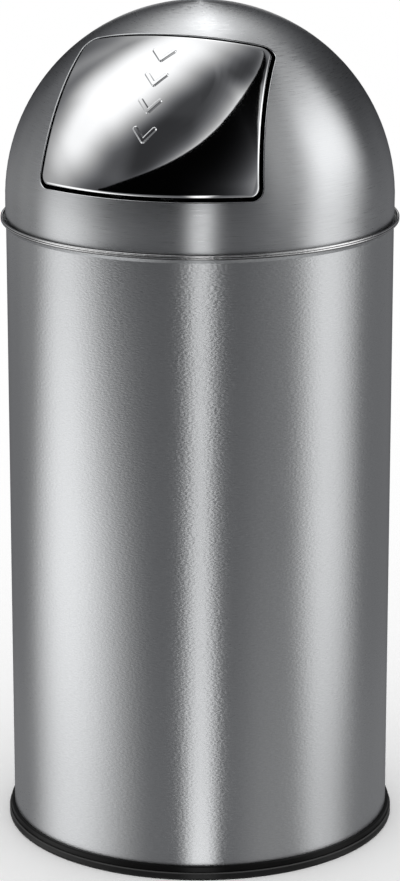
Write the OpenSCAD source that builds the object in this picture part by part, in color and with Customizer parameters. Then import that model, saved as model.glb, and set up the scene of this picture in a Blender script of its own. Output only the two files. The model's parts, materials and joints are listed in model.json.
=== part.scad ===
// Dome top waste bin with a sprung push flap and a lift-out liner.
// The origin is the centre of the foot on the floor, +Z is up and the flap faces -Y.

/* [Body] */
// Outside diameter of the steel body tube
body_d = 350; // [300:1:400]
// Sheet thickness of the body and the dome
sheet_t = 0.8; // [0.6:0.1:1.2]
// Height of the body's rim above the floor
rim_z = 573.2; // [450:1:650]
// How far the rim flares out past the body
flare_out = 4.1; // [3.5:0.1:5]
// Height of the flared step
flare_h = 4; // [3:0.5:6]
// Radius of each of the two rolls along the rim's edge
roll_r = 0.95; // [0.8:0.05:1.1]

/* [Base ring] */
// How far the floor ring stands out past the body
ring_out = 5; // [3:0.5:8]
// Height of the ring's lower tier
ring_tier_h = 6.8; // [5:0.2:9]
// Full height of the ring outside the body
ring_h = 12.4; // [11:0.2:15]
// Inset of the upper tier from the lower one
ring_step = 1.7; // [1:0.1:3]

/* [Dome] */
// How far the dome stands out past the body tube
dome_over = 0.5; // [0.3:0.1:0.8]
// Height of the dome's straight skirt above the rim
skirt_h = 16.3; // [10:0.5:30]
// Rake of the aperture's chord from level
rake = 52.3; // [50:0.5:54]
// Half-width of the aperture at the chord's middle
aperture_w = 95.7; // [90:0.5:96]
// Narrowing of each side of the aperture per unit of height
aperture_taper = 0.1; // [0.05:0.01:0.12]
// Lowest point of the aperture, down the chord
aperture_low = 83; // [78:0.5:84]
// Middle of the aperture's top edge, up the chord
aperture_top = 76; // [74:0.5:77]
// Radius of the bowed lower edge
low_arc_r = 274; // [250:1:400]
// Radius of the dipped top edge
top_arc_r = 536; // [450:1:800]
// Corner radius of the aperture
corner_r = 13; // [10:0.5:15]
// Depth of the lip turned in round the aperture
lip_depth = 4.5; // [3:0.5:5]

/* [Flap] */
// Gap round the flap
flap_gap = 3.6; // [3:0.1:4.5]
// How far the flap stands proud of the dome
flap_proud = 1; // [0.5:0.1:1.5]
// Sheet thickness of the flap
flap_t = 1.2; // [1:0.1:1.5]
// Depth of the flange folded in round the flap
flap_flange = 5.5; // [4:0.5:6]
// Height of the hinge pin up the chord
pivot_up = 60; // [58:1:62]
// Depth of the hinge pin below the dome's crown, along the chord's normal
pivot_depth = 39.5; // [38:0.5:41]
// Radius of the hinge pin
pin_r = 3; // [2.5:0.1:3.5]

/* [Liner] */
// Gap between the liner and the body, all round
liner_gap = 18; // [16:0.5:25]
// How far the liner's rim lies below the body's
liner_drop = 32.6; // [32:0.2:60]
// Sheet thickness of the liner
liner_t = 0.7; // [0.5:0.1:1]
// Radius of the wire in the liner's rim
liner_bead_r = 2.6; // [2:0.1:3]
// Height that each stiffening swage stands out
swage_out = 2; // [1:0.5:3]
// Radius of the bail's wire
bail_r = 2.5; // [2:0.1:3]

/* [Output] */
// Which piece to draw

/* [Hidden] */
$fn = 96;

// Clearances: a static fit, a running fit, a seat and a clear gap between pieces
fit_c = 0.1;
run_c = 0.05;
seat_c = 0.3;
cut = 1;

// Body and base
body_r = body_d / 2;
mouth_r = body_r - sheet_t;
flare_r = body_r + flare_out;
roll_pitch = 2 * roll_r - 0.1;
roll_z = rim_z - roll_r;
flare_top = roll_z - roll_pitch - roll_r - 0.3;
flare_low = flare_top - flare_h;
ring_r = body_r + ring_out;
ring_upper_r = ring_r - ring_step;
ring_edge = 0.7;
ring_floor = 5;
ring_lip_z = 9;
ring_lip_t = 3;
ring_flange_t = 3;
ring_hole_r = mouth_r - 14.2;
plate_t = 1;
plate_rim_h = 13;
plate_r = mouth_r - fit_c;
plate_rib_out = mouth_r - 52.2;
plate_rib_in = plate_rib_out - 12;
plate_rib_h = 2;
screw_at = mouth_r - 8.7;
screw_r = 1.9;
screw_head_r = 4;
screw_head_h = 2.6;
screw_recess = 3.4;
screw_end = 14;
slot_l = 4;
slot_w = 0.8;
slot_depth = 1.2;
boss_r = 5;

// Dome, collar and aperture
dome_r = body_r + dome_over;
dome_in = dome_r - sheet_t;
dome_cz = rim_z + skirt_h;
dome_edge = flare_low + sheet_t / 2 + (dome_over + sheet_t) * flare_h / flare_out + seat_c;
collar_t = 1;
collar_r = mouth_r - 0.5;
collar_low = rim_z - 17.2;
collar_step = dome_edge + 0.6;
collar_shoulder = collar_step + 0.7;
collar_top = dome_cz - 6;
lip_t = 1;
lip_r = dome_r - lip_depth;
prism_from = dome_r - 115.5;
prism_to = dome_r + 24.5;

// Flap
flap_r = dome_r + flap_proud;
flap_in = flap_r - flap_t;
flange_r = flap_r - flap_flange;
pivot_out = dome_r - pivot_depth;

// Hinge, with every size across the bin measured from the middle plane
ear_at = 46;
ear_t = 2;
bush_r = 4.5;
bush_flange_r = 7;
bush_flange_t = 1.7;
bush_in = ear_at - 1;
hinge_plate_at = ear_at + ear_t + bush_flange_t + seat_c;
hinge_plate_t = 2;
hinge_boss_r = 8;
foot_t = 1.5;
bracket_foot_w = 16;
bracket_foot_low = aperture_top + 8;
bracket_foot_top = bracket_foot_low + 28;
bracket_back = 24;
bracket_neck = 4;
ear_foot_w = 14;
ear_foot_top = pivot_up - 4;
ear_foot_low = ear_foot_top - 34;
ear_heel = 26;
groove_r = 2.5;
groove_at = hinge_plate_at + hinge_plate_t + seat_c;
clip_t = 0.9;
clip_r = 5.6;
clip_mouth = 3.6;
pin_half = groove_at + clip_t + 3.8;
stud_inset = 7;
stud_across = hinge_plate_at + 9;
stud_low = bracket_foot_low + stud_inset;
stud_high = bracket_foot_top - stud_inset;
stud_r = 2;
stud_len = 9;
nut_af = 7;
nut_t = 3.2;

// Torsion springs: the coil runs on the pin, and each leg bears on a shell
wire_r = 0.8;
coil_r = 5;
coil_pitch = 2.2;
coil_turns = 7;
coil_from = bush_in - 2.6 - coil_pitch * coil_turns;
rings_per_turn = 8;
wire_sides = 6;
fixed_leg_up = 40;
moving_leg_down = -35;

// Stop lugs and buffers
lug_at = 24;
lug_w = 16;
lug_t = 1.5;
lug_web = 11 - aperture_low;
lug_foot_from = lug_web + 22;
lug_end = -aperture_low - 5;
lug_turn = asin(lug_at / sqrt(lip_r * lip_r - aperture_low * aperture_low));
buffer_w = 12;
buffer_from = -aperture_low - 2;
buffer_to = 2 - aperture_low;
buffer_h = 3.7;
buffer_side = buffer_w / 2;

// Liner, ears and bail
liner_top = rim_z - liner_drop;
liner_r = body_r - liner_gap;
liner_in = liner_r - liner_t;
liner_low = ring_lip_z + plate_t + seat_c;
liner_bead_at = liner_r + liner_bead_r - 1;
liner_bead_z = liner_top - liner_bead_r;
swage_z = [190, 370];
swage_flat = 4;
swage_slope = 4;
seam_h = 9.7;
bottom_t = 0.8;
bottom_z = liner_low + seam_h;
bail_z = liner_top + bail_r + seat_c;
bail_bend_r = liner_bead_at;
bail_ear_t = 2;
bail_ear_w = 24;
ear_plate_in = liner_bead_at + liner_bead_r + 0.3;
ear_plate_out = ear_plate_in + bail_ear_t;
ear_foot_out = liner_r + 1.6;
ear_low_z = liner_top - 28.6;
ear_jog_z = liner_top - 9.6;
ear_jog_h = 3.4;
ear_head_r = 9;
ear_shoulder = 3;
ear_depth = 6;
hole_depth = 16;
eye_r = bail_r + seat_c;
bail_head_r = 3.8;
bail_head_t = 1.6;
rivet_r = 2;
rivet_head_r = 3.8;
rivet_head_t = 1.5;
rivet_z = ear_low_z + 9;
rivet_across = 7;

// --- Outline of the aperture, drawn in from the edge by inset d ---
side_len = sqrt(1 + aperture_taper * aperture_taper);
low_c = low_arc_r - aperture_low;
top_c = top_arc_r + aperture_top;
side_angle = atan(aperture_taper);
corner_steps = 7;
low_steps = 5;
top_steps = 4;

// Where a line x = a - k v first meets a circle of radius q about (0, c)
function meet(a, k, c, q) =
  let (h = a * k + c, m = 1 + k * k, n = a * a + c * c - q * q)
  (h - sqrt(h * h - m * n)) / m;

function arc_points(cx, cy, r, a0, a1, steps) =
  [for (i = [0:steps]) let (a = a0 + (a1 - a0) * i / steps) [cx + r * cos(a), cy + r * sin(a)]];

// The right half of the outline, from the middle of the low edge to the middle of the top one
function half_outline(d) =
  let (
    r = corner_r - d,
    a = aperture_w - (d + r) * side_len,
    lv = meet(a, aperture_taper, low_c, low_arc_r - d - r),
    tv = meet(a, aperture_taper, top_c, top_arc_r + d + r),
    lx = a - aperture_taper * lv,
    tx = a - aperture_taper * tv,
    la = atan2(lv - low_c, lx),
    ta = atan2(top_c - tv, -tx),
    ts = atan2(tv - top_c, tx)
  )
  concat(
    arc_points(0, low_c, low_arc_r - d, -90, la - 1 / low_steps, low_steps - 1),
    arc_points(lx, lv, r, la, side_angle, corner_steps),
    arc_points(tx, tv, r, side_angle, ta, corner_steps),
    arc_points(0, top_c, top_arc_r + d, ts - 1 / top_steps, -90, top_steps - 1)
  );

function outline(d) =
  let (h = half_outline(d), n = len(h))
  concat(h, [for (i = [n - 2:-1:1]) [-h[i][0], h[i][1]]]);

// Places things in the raked frame: X across, Y up the chord, Z out along its normal
module raked() {
  translate([0, 0, dome_cz])
    rotate([rake, 0, 0])
      children();
}

module outline_prism(d) {
  translate([0, 0, prism_from])
    linear_extrude(height = prism_to - prism_from)
      polygon(outline(d));
}

// A plate in the raked frame whose face lies across X, from a profile in the chord's plane
module side_plate(x, t, profile) {
  translate([x, 0, 0])
    rotate([90, 0, 90])
      linear_extrude(height = t)
        polygon(profile);
}

// A cylinder along X, starting at x and centred on the hinge pin
module on_pin(x, r, l) {
  translate([x, pivot_up, pivot_out])
    rotate([0, 90, 0])
      cylinder(r = r, h = l);
}

// A sheet that follows a sphere, cut to a box in the raked frame
module curved_foot(r, x, w, from, to) {
  intersection() {
    difference() {
      sphere(r = r, $fn = 256);
      sphere(r = r - foot_t, $fn = 256);
    }
    translate([x, from, prism_from])
      cube([w, to - from, prism_to - prism_from]);
  }
}

// --- Body ---
module base_ring() {
  color([0.06, 0.06, 0.065])
    difference() {
      union() {
        rotate_extrude()
          polygon([
            [ring_hole_r, 0],
            [ring_r - ring_edge, 0],
            [ring_r, ring_edge],
            [ring_r, ring_tier_h - ring_edge],
            [ring_r - ring_edge, ring_tier_h],
            [ring_upper_r, ring_tier_h],
            [ring_upper_r, ring_h - ring_edge],
            [ring_upper_r - ring_edge, ring_h],
            [body_r + fit_c, ring_h],
            [body_r + fit_c, ring_floor],
            [mouth_r - fit_c, ring_floor],
            [mouth_r - fit_c, ring_lip_z],
            [mouth_r - fit_c - ring_lip_t, ring_lip_z],
            [mouth_r - fit_c - ring_lip_t, ring_flange_t],
            [ring_hole_r, ring_flange_t]
          ]);
        for (a = [45:90:315])
          rotate([0, 0, a])
            translate([screw_at, 0, cut])
              cylinder(r = boss_r, h = ring_lip_z - cut);
      }
      for (a = [45:90:315])
        rotate([0, 0, a])
          translate([screw_at, 0, 0]) {
            translate([0, 0, -cut])
              cylinder(r = screw_r + seat_c, h = ring_lip_z + 2 * cut);
            translate([0, 0, -cut])
              cylinder(r = screw_head_r + seat_c, h = screw_recess + cut);
          }
    }
}

module body_shell() {
  color([0.62, 0.63, 0.64])
    rotate_extrude() {
      polygon([
        [mouth_r, ring_floor],
        [body_r, ring_floor],
        [body_r, flare_low],
        [flare_r, flare_top],
        [flare_r, roll_z],
        [flare_r - sheet_t, roll_z],
        [flare_r - sheet_t, flare_top + sheet_t / 2],
        [mouth_r, flare_low + sheet_t / 2]
      ]);
      for (i = [0, 1])
        translate([flare_r - fit_c, roll_z - i * roll_pitch])
          circle(r = roll_r);
    }
}

module base_plate() {
  z = ring_lip_z;
  slope = plate_rib_h;
  color([0.55, 0.56, 0.58])
    difference() {
      rotate_extrude()
        polygon([
          [0, z],
          [plate_rib_in, z],
          [plate_rib_in + slope, z + plate_rib_h],
          [plate_rib_out - slope, z + plate_rib_h],
          [plate_rib_out, z],
          [plate_r, z],
          [plate_r, z + plate_rim_h],
          [plate_r - plate_t, z + plate_rim_h],
          [plate_r - plate_t, z + plate_t],
          [plate_rib_out - plate_t / 2, z + plate_t],
          [plate_rib_out - slope - plate_t / 2, z + plate_rib_h + plate_t],
          [plate_rib_in + slope + plate_t / 2, z + plate_rib_h + plate_t],
          [plate_rib_in + plate_t / 2, z + plate_t],
          [0, z + plate_t]
        ]);
      for (a = [45:90:315])
        rotate([0, 0, a])
          translate([screw_at, 0, z - cut])
            cylinder(r = screw_r + fit_c, h = plate_t + 2 * cut);
    }
}

module base_screws() {
  color([0.7, 0.7, 0.72])
    for (a = [45:90:315])
      rotate([0, 0, a])
        translate([screw_at, 0, screw_recess - screw_head_h])
          difference() {
            union() {
              cylinder(r = screw_head_r, h = screw_head_h);
              cylinder(r = screw_r, h = screw_end - screw_recess + screw_head_h - screw_r);
              translate([0, 0, screw_end - screw_recess + screw_head_h - screw_r])
                cylinder(r1 = screw_r, r2 = screw_r / 3, h = screw_r);
            }
            for (q = [0, 90])
              rotate([0, 0, q])
                translate([-slot_l / 2, -slot_w / 2, -cut])
                  cube([slot_l, slot_w, cut + slot_depth]);
          }
}

// --- Liner ---
function swage(r, z) =
  [
    [r, z - swage_flat / 2 - swage_slope],
    [r + swage_out, z - swage_flat / 2],
    [r + swage_out, z + swage_flat / 2],
    [r, z + swage_flat / 2 + swage_slope]
  ];

module liner_bucket() {
  color([0.66, 0.68, 0.7])
    difference() {
      rotate_extrude() {
        polygon(concat(
          [[liner_in, liner_low], [liner_r, liner_low]],
          swage(liner_r, swage_z[0]),
          swage(liner_r, swage_z[1]),
          [[liner_r, liner_bead_z], [liner_in, liner_bead_z]],
          [for (i = [3:-1:0]) swage(liner_in, swage_z[1])[i]],
          [for (i = [3:-1:0]) swage(liner_in, swage_z[0])[i]]
        ));
        translate([liner_bead_at, liner_bead_z])
          circle(r = liner_bead_r);
      }
      for (x = [-1, 1], y = [-1, 1])
        translate([0, y * rivet_across, rivet_z])
          rotate([0, x * 90, 0])
            translate([0, 0, liner_r - hole_depth / 2])
              cylinder(r = rivet_r + fit_c, h = hole_depth);
    }
}

module liner_bottom() {
  r = liner_in - fit_c;
  color([0.6, 0.62, 0.64])
    rotate_extrude()
      polygon([
        [0, bottom_z],
        [r - bottom_t, bottom_z],
        [r - bottom_t, liner_low],
        [r, liner_low],
        [r, bottom_z + bottom_t],
        [0, bottom_z + bottom_t]
      ]);
}

module bail_ear(s) {
  w = bail_ear_w;
  color([0.6, 0.62, 0.64])
    mirror([s < 0 ? 1 : 0, 0, 0])
      difference() {
        union() {
          translate([0, w / 2, 0])
            rotate([90, 0, 0])
              linear_extrude(height = w)
                polygon([
                  [liner_r - ear_depth, ear_low_z],
                  [ear_foot_out, ear_low_z],
                  [ear_foot_out, ear_jog_z],
                  [ear_plate_out, ear_jog_z + ear_jog_h],
                  [ear_plate_out, bail_z + ear_shoulder],
                  [ear_plate_in, bail_z + ear_shoulder],
                  [ear_plate_in, ear_jog_z + ear_jog_h + 0.8],
                  [liner_r, ear_jog_z + 1],
                  [liner_r - ear_depth, ear_jog_z + 1]
                ]);
          translate([ear_plate_in, 0, bail_z])
            rotate([0, 90, 0])
              cylinder(r = ear_head_r, h = bail_ear_t);
        }
        translate([0, 0, ear_low_z - cut])
          cylinder(r = liner_r + run_c, h = ear_jog_z - ear_low_z + 4 * cut, $fn = 256);
        translate([ear_plate_in - cut, 0, bail_z])
          rotate([0, 90, 0])
            cylinder(r = eye_r, h = bail_ear_t + 2 * cut);
        for (y = [-1, 1])
          translate([liner_r - hole_depth / 2, y * rivet_across, rivet_z])
            rotate([0, 90, 0])
              cylinder(r = rivet_r + fit_c, h = hole_depth);
      }
}

module bail_ear_left() {
  bail_ear(-1);
}

module bail_ear_right() {
  bail_ear(1);
}

module ear_rivets() {
  inner = liner_in - rivet_head_t - 5 * fit_c;
  color([0.7, 0.71, 0.73])
    for (x = [-1, 1], y = [-1, 1])
      translate([0, y * rivet_across, rivet_z])
        rotate([0, x * 90, 0]) {
          translate([0, 0, inner])
            cylinder(r = rivet_head_r, h = rivet_head_t);
          translate([0, 0, inner])
            cylinder(r = rivet_r, h = ear_foot_out + rivet_head_t - inner);
          translate([0, 0, ear_foot_out])
            cylinder(r = rivet_head_r, h = rivet_head_t);
        }
}

module bail_handle() {
  color([0.72, 0.73, 0.75])
    translate([0, 0, bail_z]) {
      rotate_extrude(angle = 180)
        translate([bail_bend_r, 0])
          circle(r = bail_r);
      for (s = [0, 180])
        rotate([0, 0, s])
          translate([bail_bend_r, 0, 0]) {
            sphere(r = bail_r);
            rotate([0, 90, 0])
              cylinder(r = bail_r, h = ear_plate_out + seat_c + bail_head_t - bail_bend_r);
            translate([ear_plate_out + seat_c - bail_bend_r, 0, 0])
              rotate([0, 90, 0])
                cylinder(r = bail_head_r, h = bail_head_t);
          }
    }
}

// --- Lid ---
// A solid dome of radius r that goes down to z below
module dome_solid(r, below) {
  rotate_extrude() {
    translate([0, dome_cz])
      intersection() {
        circle(r = r);
        translate([0, below - dome_cz])
          square([r, r + dome_cz - below]);
      }
    translate([0, below])
      square([r, dome_cz - below]);
  }
}

module dome_shell() {
  color([0.62, 0.63, 0.64])
    difference() {
      dome_solid(dome_r, dome_edge);
      difference() {
        dome_solid(dome_in, dome_edge - cut);
        raked()
          difference() {
            outline_prism(-lip_t);
            sphere(r = lip_r);
          }
      }
      raked()
        outline_prism(0);
    }
}

module lid_collar() {
  color([0.6, 0.61, 0.62])
    rotate_extrude()
      polygon([
        [collar_r, collar_low],
        [collar_r, collar_step],
        [dome_in - fit_c, collar_shoulder],
        [dome_in - fit_c, collar_top],
        [dome_in - fit_c - collar_t, collar_top],
        [dome_in - fit_c - collar_t, collar_shoulder + collar_t / 2],
        [collar_r - collar_t, collar_step + collar_t / 2],
        [collar_r - collar_t, collar_low]
      ]);
}

// Turns Z to the outward radius through a stud, at x across and v up the chord
module on_stud(x, v) {
  rotate([0, atan2(x, sqrt(dome_in * dome_in - x * x - v * v)), 0])
    rotate([-asin(v / dome_in), 0, 0])
      children();
}

module at_studs(s) {
  for (v = [stud_low, stud_high])
    on_stud(s * stud_across, v)
      children();
}

module hinge_bracket() {
  b = hinge_boss_r;
  color([0.66, 0.67, 0.69])
    difference() {
      union() {
        intersection() {
          sphere(r = dome_in - fit_c, $fn = 256);
          side_plate(hinge_plate_at, hinge_plate_t, [
            [pivot_up, pivot_out - b],
            [bracket_foot_top, pivot_out - bracket_back],
            [bracket_foot_top, prism_to],
            [bracket_foot_low, prism_to],
            [bracket_foot_low, pivot_out + bracket_neck + 1.5],
            [bracket_foot_low - 4, pivot_out + bracket_neck],
            [pivot_up + 1, pivot_out + b - 0.1]
          ]);
        }
        on_pin(hinge_plate_at, b, hinge_plate_t);
        curved_foot(
          dome_in - fit_c, hinge_plate_at, bracket_foot_w, bracket_foot_low, bracket_foot_top
        );
      }
      on_pin(hinge_plate_at - cut, pin_r + run_c, hinge_plate_t + 2 * cut);
      at_studs(1)
        translate([0, 0, dome_in - foot_t - cut])
          cylinder(r = stud_r + 0.2, h = foot_t + 2 * cut);
    }
}

module hinge_bracket_left() {
  raked()
    mirror([1, 0, 0])
      hinge_bracket();
}

module hinge_bracket_right() {
  raked()
    hinge_bracket();
}

module bracket_studs() {
  color([0.7, 0.7, 0.72])
    raked()
      for (s = [-1, 1])
        at_studs(s)
          translate([0, 0, dome_in - run_c - stud_len])
            cylinder(r = stud_r, h = stud_len);
}

module bracket_nuts() {
  color([0.75, 0.75, 0.77])
    raked()
      for (s = [-1, 1])
        at_studs(s)
          translate([0, 0, dome_in - fit_c - foot_t - 0.2 - nut_t])
            difference() {
              cylinder(r = nut_af / sqrt(3), h = nut_t, $fn = 6);
              translate([0, 0, -cut])
                cylinder(r = stud_r + run_c, h = nut_t + 2 * cut);
            }
}

module hinge_pin() {
  color([0.74, 0.75, 0.77])
    raked()
      difference() {
        on_pin(-pin_half, pin_r, 2 * pin_half);
        for (s = [-1, 1])
          translate([s * (groove_at + clip_t / 2), pivot_up, pivot_out])
            rotate([0, 90, 0])
              difference() {
                cylinder(r = pin_r + cut, h = clip_t + 2 * fit_c, center = true);
                cylinder(r = groove_r, h = clip_t + 2 * cut, center = true);
              }
      }
}

module pin_clips() {
  color([0.3, 0.3, 0.32])
    raked()
      for (s = [-1, 1])
        translate([s * (groove_at + clip_t / 2), pivot_up, pivot_out])
          rotate([0, 90, 0])
            difference() {
              cylinder(r = clip_r, h = clip_t, center = true);
              cylinder(r = groove_r + run_c, h = 2 * clip_t, center = true);
              translate([0, -clip_mouth / 2, -clip_t])
                cube([clip_r + cut, clip_mouth, 2 * clip_t]);
            }
}

// --- Return springs, as points in the raked frame ---
fixed_end = [
  pivot_up + fixed_leg_up,
  sqrt(pow(dome_in - wire_r - seat_c, 2) - pow(pivot_up + fixed_leg_up, 2) - pow(coil_from, 2))
];
coil_to = coil_from + coil_pitch * coil_turns;
moving_end = [
  pivot_up + moving_leg_down,
  sqrt(pow(flap_in - wire_r - seat_c, 2) - pow(pivot_up + moving_leg_down, 2) - pow(coil_to, 2))
];
fixed_arm = fixed_end - [pivot_up, pivot_out];
moving_arm = moving_end - [pivot_up, pivot_out];
coil_a0 = atan2(fixed_arm[1], fixed_arm[0]) + acos(coil_r / norm(fixed_arm));
coil_a1 = atan2(moving_arm[1], moving_arm[0]) - acos(coil_r / norm(moving_arm)) + 360 * coil_turns;
coil_rings = ceil((coil_a1 - coil_a0) / 360 * rings_per_turn);

function coil_point(i) =
  let (t = i / coil_rings, a = coil_a0 + (coil_a1 - coil_a0) * t)
  [
    coil_from + (coil_to - coil_from) * t,
    pivot_up + coil_r * cos(a),
    pivot_out + coil_r * sin(a)
  ];

coil_path = concat(
  [[coil_from, fixed_end[0], fixed_end[1]]],
  [for (i = [0:coil_rings]) coil_point(i)],
  [[coil_to, moving_end[0], moving_end[1]]]
);

function unit(v) = v / norm(v);

// A tube round a path: the rings keep one direction near the pin's axis, so it never twists
function tube_ring(p, i, r, sides) =
  let (
    n = len(p),
    t = unit(p[min(i + 1, n - 1)] - p[max(i - 1, 0)]),
    u = unit([1, 0, 0] - t * t[0]),
    w = cross(t, u)
  )
  [for (k = [0:sides - 1]) p[i] + r * (u * cos(360 * k / sides) + w * sin(360 * k / sides))];

module tube(p, r, sides) {
  n = len(p);
  points = [for (i = [0:n - 1]) each tube_ring(p, i, r, sides)];
  walls = [
    for (i = [0:n - 2], k = [0:sides - 1])
      let (a = i * sides + k, b = i * sides + (k + 1) % sides)
      each [[a, b + sides, b], [a, a + sides, b + sides]]
  ];
  start = [for (k = [1:sides - 2]) [0, k, k + 1]];
  last = (n - 1) * sides;
  end = [for (k = [1:sides - 2]) [last, last + k + 1, last + k]];
  polyhedron(points = points, faces = concat(walls, start, end));
}

// The least gap between one turn of the spring and any other
turn_gap = min([
  for (i = [0:coil_rings], j = [0:coil_rings])
    if (j - i >= rings_per_turn - 2) norm(coil_point(j) - coil_point(i))
]) - 2 * wire_r;
echo(spring_turn_gap = turn_gap);

module return_spring() {
  color([0.55, 0.56, 0.58])
    tube(coil_path, wire_r, wire_sides);
}

module return_spring_left() {
  raked()
    mirror([1, 0, 0])
      return_spring();
}

module return_spring_right() {
  raked()
    return_spring();
}

// --- Flap ---
module flap_panel() {
  color([0.8, 0.81, 0.83])
    raked()
      difference() {
        intersection() {
          sphere(r = flap_r);
          outline_prism(flap_gap);
        }
        sphere(r = flange_r);
        intersection() {
          sphere(r = flap_in);
          outline_prism(flap_gap + flap_t);
        }
      }
}

module flap_ear() {
  b = hinge_boss_r;
  color([0.66, 0.67, 0.69])
    difference() {
      union() {
        intersection() {
          sphere(r = flap_in - fit_c, $fn = 256);
          side_plate(ear_at, ear_t, [
            [pivot_up - 5, pivot_out - b + 1.8],
            [pivot_up + 3, pivot_out + b - 0.6],
            [ear_foot_top, prism_to],
            [ear_foot_low, prism_to],
            [ear_foot_low, pivot_out + ear_heel]
          ]);
        }
        on_pin(ear_at, b, ear_t);
        curved_foot(flap_in - fit_c, ear_at, ear_foot_w, ear_foot_low, ear_foot_top);
      }
      on_pin(ear_at - cut, bush_r + run_c, ear_t + 2 * cut);
    }
}

module flap_ear_left() {
  raked()
    mirror([1, 0, 0])
      flap_ear();
}

module flap_ear_right() {
  raked()
    flap_ear();
}

module hinge_bushes() {
  flange_at = ear_at + ear_t;
  color([0.9, 0.9, 0.88])
    raked()
      for (s = [0, 1])
        mirror([s, 0, 0])
          difference() {
            union() {
              on_pin(bush_in, bush_r, flange_at - bush_in + cut);
              on_pin(flange_at, bush_flange_r, bush_flange_t);
            }
            on_pin(bush_in - cut, pin_r + run_c, bush_flange_t + flange_at - bush_in + 2 * cut);
          }
}

// Where the outline's low edge, drawn in by d, lies at x across
function low_edge(x, d) = low_c - sqrt(pow(low_arc_r - d, 2) - x * x);

// Height along the normal of the lug's face, a seat's width under the lip's end
lug_out = sqrt(
  lip_r * lip_r - pow(low_edge(lug_at - buffer_side, -lip_t), 2) - buffer_side * buffer_side
) - seat_c - buffer_h;

// Turns the plane of a lug so that the buffer on it meets the lip squarely
module at_lug(s) {
  rotate([0, s * lug_turn, 0])
    children();
}

module stop_lug() {
  color([0.66, 0.67, 0.69])
    intersection() {
      sphere(r = flap_in - fit_c, $fn = 256);
      union() {
        curved_foot(flap_in - fit_c, -lug_w / 2, lug_w, lug_web, lug_foot_from);
        side_plate(-lug_w / 2, lug_w, [
          [lug_web, prism_to],
          [lug_web, lug_out],
          [lug_end, lug_out],
          [lug_end, lug_out - lug_t],
          [lug_web + lug_t, lug_out - lug_t],
          [lug_web + lug_t, prism_to]
        ]);
      }
    }
}

module stop_lug_left() {
  raked()
    at_lug(-1)
      stop_lug();
}

module stop_lug_right() {
  raked()
    at_lug(1)
      stop_lug();
}

module stop_buffers() {
  color([0.08, 0.08, 0.08])
    raked()
      for (s = [-1, 1])
        at_lug(s)
          translate([-buffer_side, buffer_from, lug_out])
            cube([buffer_w, buffer_to - buffer_from, buffer_h]);
}

base_ring();
body_shell();
base_plate();
base_screws();
liner_bucket();
liner_bottom();
bail_ear_left();
bail_ear_right();
ear_rivets();
bail_handle();
dome_shell();
lid_collar();
hinge_bracket_left();
hinge_bracket_right();
bracket_studs();
bracket_nuts();
hinge_pin();
pin_clips();
return_spring_left();
return_spring_right();
flap_panel();
flap_ear_left();
flap_ear_right();
hinge_bushes();
stop_lug_left();
stop_lug_right();
stop_buffers();
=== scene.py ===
"""Looks for the dome top waste bin: brushed steel, a mirror flap and a light tent round the CAD.

Everything is in metres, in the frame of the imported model: the bin stands on z = 0 and its flap
faces -Y.
"""

import json
import math

import bpy
import numpy as np
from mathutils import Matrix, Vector


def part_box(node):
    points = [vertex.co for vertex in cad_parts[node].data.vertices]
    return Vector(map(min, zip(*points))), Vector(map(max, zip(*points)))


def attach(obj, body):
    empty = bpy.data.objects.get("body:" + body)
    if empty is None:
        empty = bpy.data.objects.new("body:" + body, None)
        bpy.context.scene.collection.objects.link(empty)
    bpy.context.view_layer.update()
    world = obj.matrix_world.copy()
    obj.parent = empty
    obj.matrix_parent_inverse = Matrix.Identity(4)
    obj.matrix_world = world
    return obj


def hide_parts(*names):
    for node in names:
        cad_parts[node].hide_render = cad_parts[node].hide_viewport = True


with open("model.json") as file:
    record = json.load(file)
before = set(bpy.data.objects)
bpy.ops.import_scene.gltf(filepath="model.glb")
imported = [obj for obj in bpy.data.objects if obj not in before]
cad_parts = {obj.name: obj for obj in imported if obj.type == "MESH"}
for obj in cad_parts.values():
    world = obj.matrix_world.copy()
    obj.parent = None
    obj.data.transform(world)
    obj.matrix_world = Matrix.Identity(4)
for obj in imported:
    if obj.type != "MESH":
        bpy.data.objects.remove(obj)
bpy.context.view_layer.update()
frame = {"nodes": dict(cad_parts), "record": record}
nodes = frame["nodes"]

# --- The photograph's view ---
VIEW_AZIMUTH = math.radians(17.9)
VIEW_DISTANCE = 2.977
VIEW_HEIGHT = 1.192
VIEW_PITCH = math.radians(15.62)
LENS = 137.3
CLIP_END = 60


def make_camera():
    """The photograph's camera, turned to the right of the flap and pitched down."""
    data = bpy.data.cameras.new("camera")
    data.lens = LENS
    data.clip_end = CLIP_END
    camera = bpy.data.objects.new("camera", data)
    camera.location = (
        VIEW_DISTANCE * math.sin(VIEW_AZIMUTH),
        -VIEW_DISTANCE * math.cos(VIEW_AZIMUTH),
        VIEW_HEIGHT,
    )
    camera.rotation_euler = (math.pi / 2 - VIEW_PITCH, 0, VIEW_AZIMUTH)
    bpy.context.scene.collection.objects.link(camera)
    bpy.context.scene.camera = camera


make_camera()


# --- Node helpers ---
def new_material(name):
    """A material with its node tree and its Principled shader."""
    material = bpy.data.materials.new(name)
    material.use_nodes = True
    tree = material.node_tree
    return material, tree, tree.nodes["Principled BSDF"]


def add(tree, kind, **values):
    """Adds a node with its attributes."""
    node = tree.nodes.new(kind)
    for key, value in values.items():
        setattr(node, key, value)
    return node


def join(tree, out, into):
    """Links an output to an input."""
    tree.links.new(out, into)


def math_node(tree, operation, a, b=None):
    """A Math node on sockets or numbers, as its output."""
    node = add(tree, "ShaderNodeMath", operation=operation)
    for i, value in enumerate([a, b]):
        if value is None:
            continue
        if isinstance(value, (int, float)):
            node.inputs[i].default_value = value
        else:
            join(tree, value, node.inputs[i])
    return node.outputs[0]


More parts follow.
